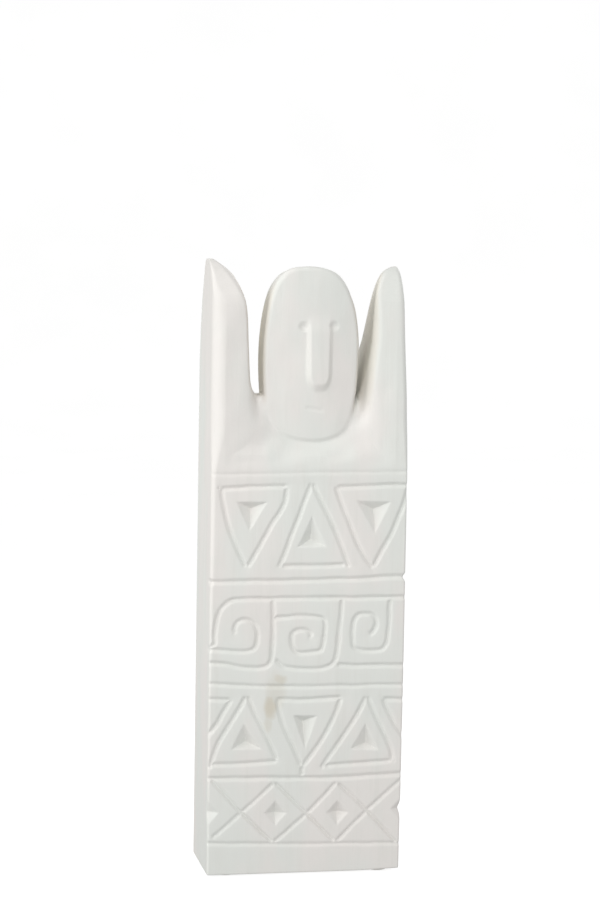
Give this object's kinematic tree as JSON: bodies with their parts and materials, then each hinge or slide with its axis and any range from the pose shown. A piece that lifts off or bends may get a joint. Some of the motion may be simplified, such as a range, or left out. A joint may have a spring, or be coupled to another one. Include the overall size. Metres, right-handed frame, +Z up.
{
  "type": "tiki figure",
  "caption": "Free-standing carved wood figure: an upright slab with grooved geometric bands, and a mask-like head between two raised arms.",
  "frame": {"origin": "on the ground under the middle of the base", "axes": "+Z up along the figure, -Y out of the carved front, +X to the right when facing the front"},
  "size_m": [0.194, 0.095, 0.604],
  "materials": {
    "painted_wood": "matt off-white paint over carved wood, with the grain showing through",
    "dowel_wood": "plain beech",
    "felt": "pressed wool felt"
  },
  "bodies": {
    "root": {"head_stave": "painted_wood", "left_arm_stave": "painted_wood", "right_arm_stave": "painted_wood", "left_seam_dowels": "dowel_wood", "right_seam_dowels": "dowel_wood", "foot_pad_front_left": "felt", "foot_pad_front_right": "felt", "foot_pad_back_left": "felt", "foot_pad_back_right": "felt"}
  },
  "joints": []
}
